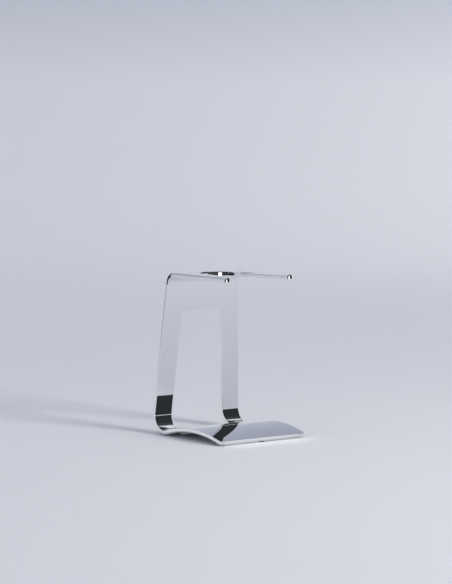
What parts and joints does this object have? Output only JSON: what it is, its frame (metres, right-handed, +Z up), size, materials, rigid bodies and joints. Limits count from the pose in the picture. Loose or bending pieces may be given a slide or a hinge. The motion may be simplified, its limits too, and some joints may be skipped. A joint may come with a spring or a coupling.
{
  "type": "shaving brush stand",
  "caption": "Polished bent-plate counter stand that holds a shaving brush by its handle in an open fork above an arched base.",
  "frame": {"origin": "centre of the footprint, on the counter that the pads stand on", "axes": "+Z up; the fork's open end points along -Y; X runs across the stand"},
  "size_m": [0.0692, 0.0766, 0.1085],
  "materials": {
    "polished_plate": "mirror-polished bright chrome",
    "clear_pad": "soft translucent silicone"
  },
  "bodies": {
    "root": {"stand_plate": "polished_plate", "front_pad_left": "clear_pad", "front_pad_right": "clear_pad", "rear_pad_left": "clear_pad", "rear_pad_right": "clear_pad"}
  },
  "joints": []
}
